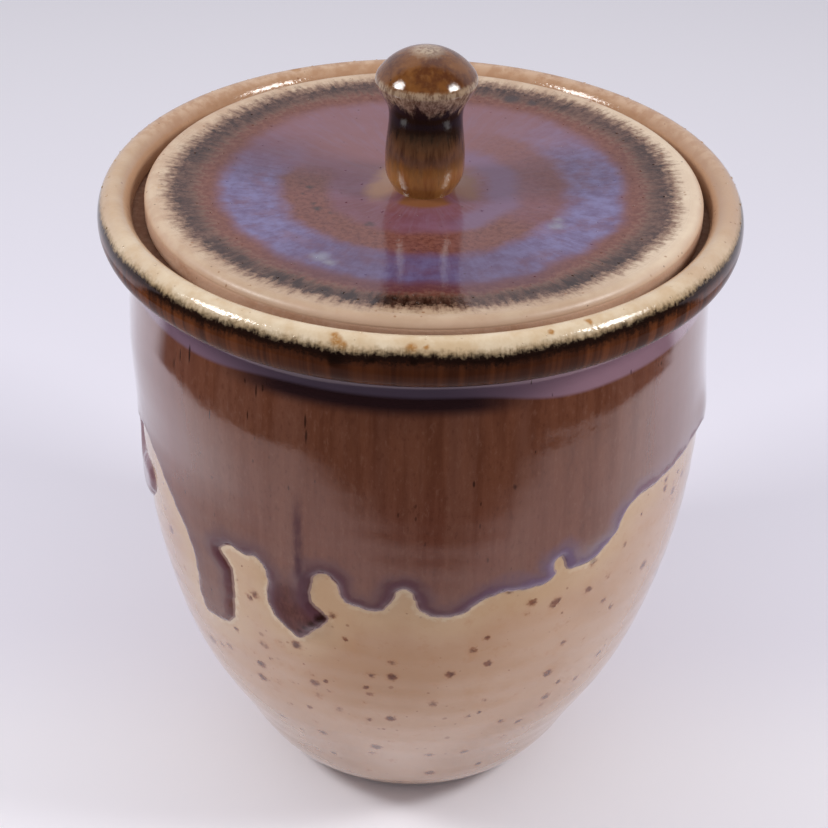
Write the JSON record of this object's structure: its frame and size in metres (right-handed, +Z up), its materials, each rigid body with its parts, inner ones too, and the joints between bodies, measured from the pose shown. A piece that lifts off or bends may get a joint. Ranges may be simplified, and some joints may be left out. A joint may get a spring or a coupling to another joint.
{
  "type": "bean pot",
  "caption": "Hand-thrown stoneware bean pot: egg-shaped body on a narrow foot, rolled rim, and a drop-in disc lid with a small domed knob.",
  "frame": {"origin": "centre of the foot, on the surface that the pot stands on", "axes": "+Z up along the pot's axis; -Y is the front, with the two long glaze runs front left"},
  "size_m": [0.152, 0.152, 0.1963],
  "materials": {
    "bare_stoneware": "speckled buff stoneware, satin",
    "brown_run_glaze": "glossy brown-purple glaze with a lavender run edge",
    "cream_glaze": "glossy cream glaze, rust spots",
    "lid_glaze": "glossy, rings of cream, dark brown, rust and lavender-blue",
    "amber_knob_glaze": "glossy streaked amber-brown glaze"
  },
  "bodies": {
    "pot": {"pot_body": "bare_stoneware", "run_glaze": "brown_run_glaze", "rim_glaze": "cream_glaze", "liner_glaze": "cream_glaze"},
    "lid": {"lid_plate": "bare_stoneware", "lid_glaze": "lid_glaze", "lid_knob": "bare_stoneware", "knob_glaze": "amber_knob_glaze"}
  },
  "joints": [
    {"name": "lid_lift", "type": "slide", "parent": "pot", "child": "lid", "axis": [0, 0, 1], "range_m": [0, 0.15]}
  ]
}
